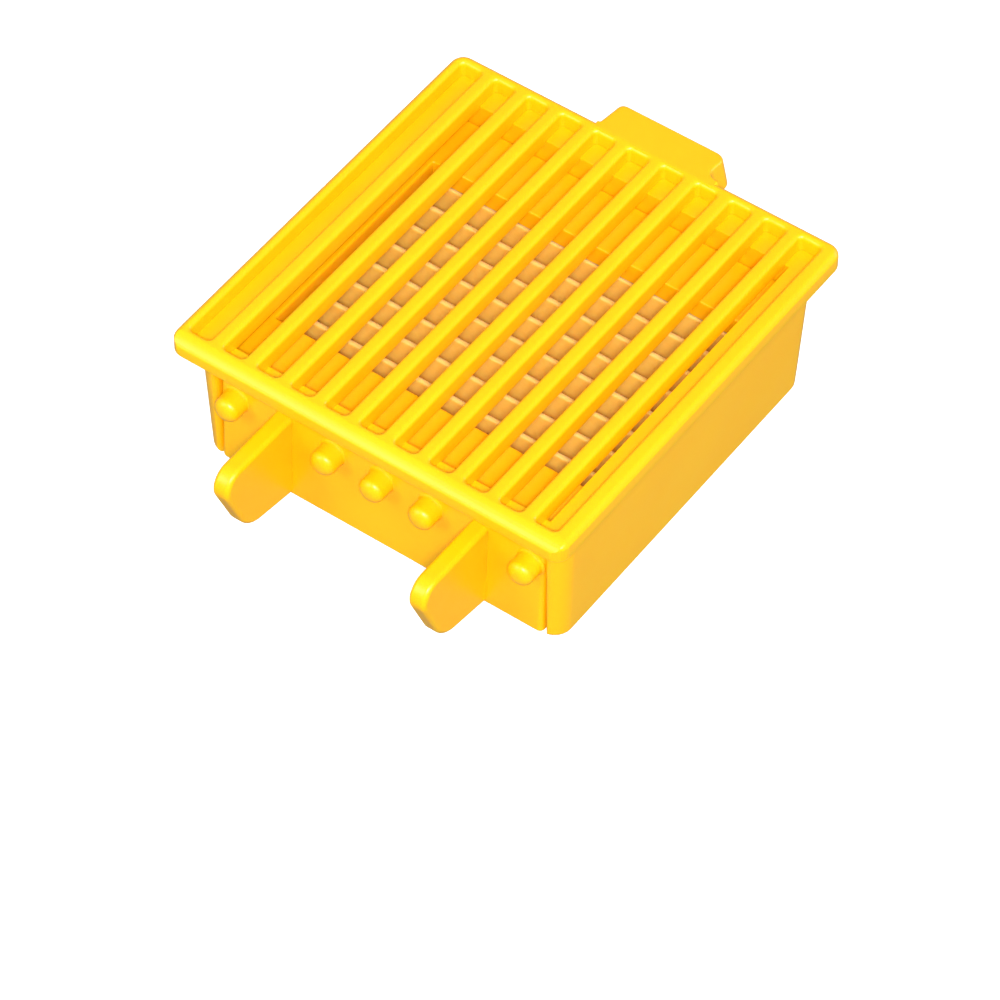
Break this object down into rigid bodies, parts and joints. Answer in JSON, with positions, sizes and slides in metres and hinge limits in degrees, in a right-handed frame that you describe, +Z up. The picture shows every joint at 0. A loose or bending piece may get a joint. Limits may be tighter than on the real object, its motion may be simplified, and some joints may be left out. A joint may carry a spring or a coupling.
{
  "type": "filter cartridge",
  "caption": "Slotted box cartridge: flanged grille cover over an open-bottomed housing, with a pull-out insert that carries a pleated sheet, finger tabs in front and a lug behind.",
  "frame": {"origin": "middle of the overall box in plan, on the surface the housing stands on", "axes": "+Z up through the slotted cover, -Y towards the front panel with the finger tabs, +Y towards the rear lug, +X to the right seen from the front"},
  "size_m": [0.0648, 0.0822, 0.0245],
  "materials": {
    "yellow_plastic": "glossy moulded",
    "pleated_paper": "matte fibrous paper",
    "sealant": "satin cast bead"
  },
  "bodies": {
    "cartridge_body": {"housing": "yellow_plastic", "grille_cover": "yellow_plastic"},
    "insert": {"insert_frame": "yellow_plastic", "pleated_sheet": "pleated_paper", "seal_bead_left": "sealant", "seal_bead_right": "sealant", "seal_bead_front": "sealant", "seal_bead_rear": "sealant"}
  },
  "joints": [
    {"name": "insert_slide", "type": "slide", "parent": "cartridge_body", "child": "insert", "axis": [0, -1, 0], "range_m": [0, 0.046]}
  ]
}
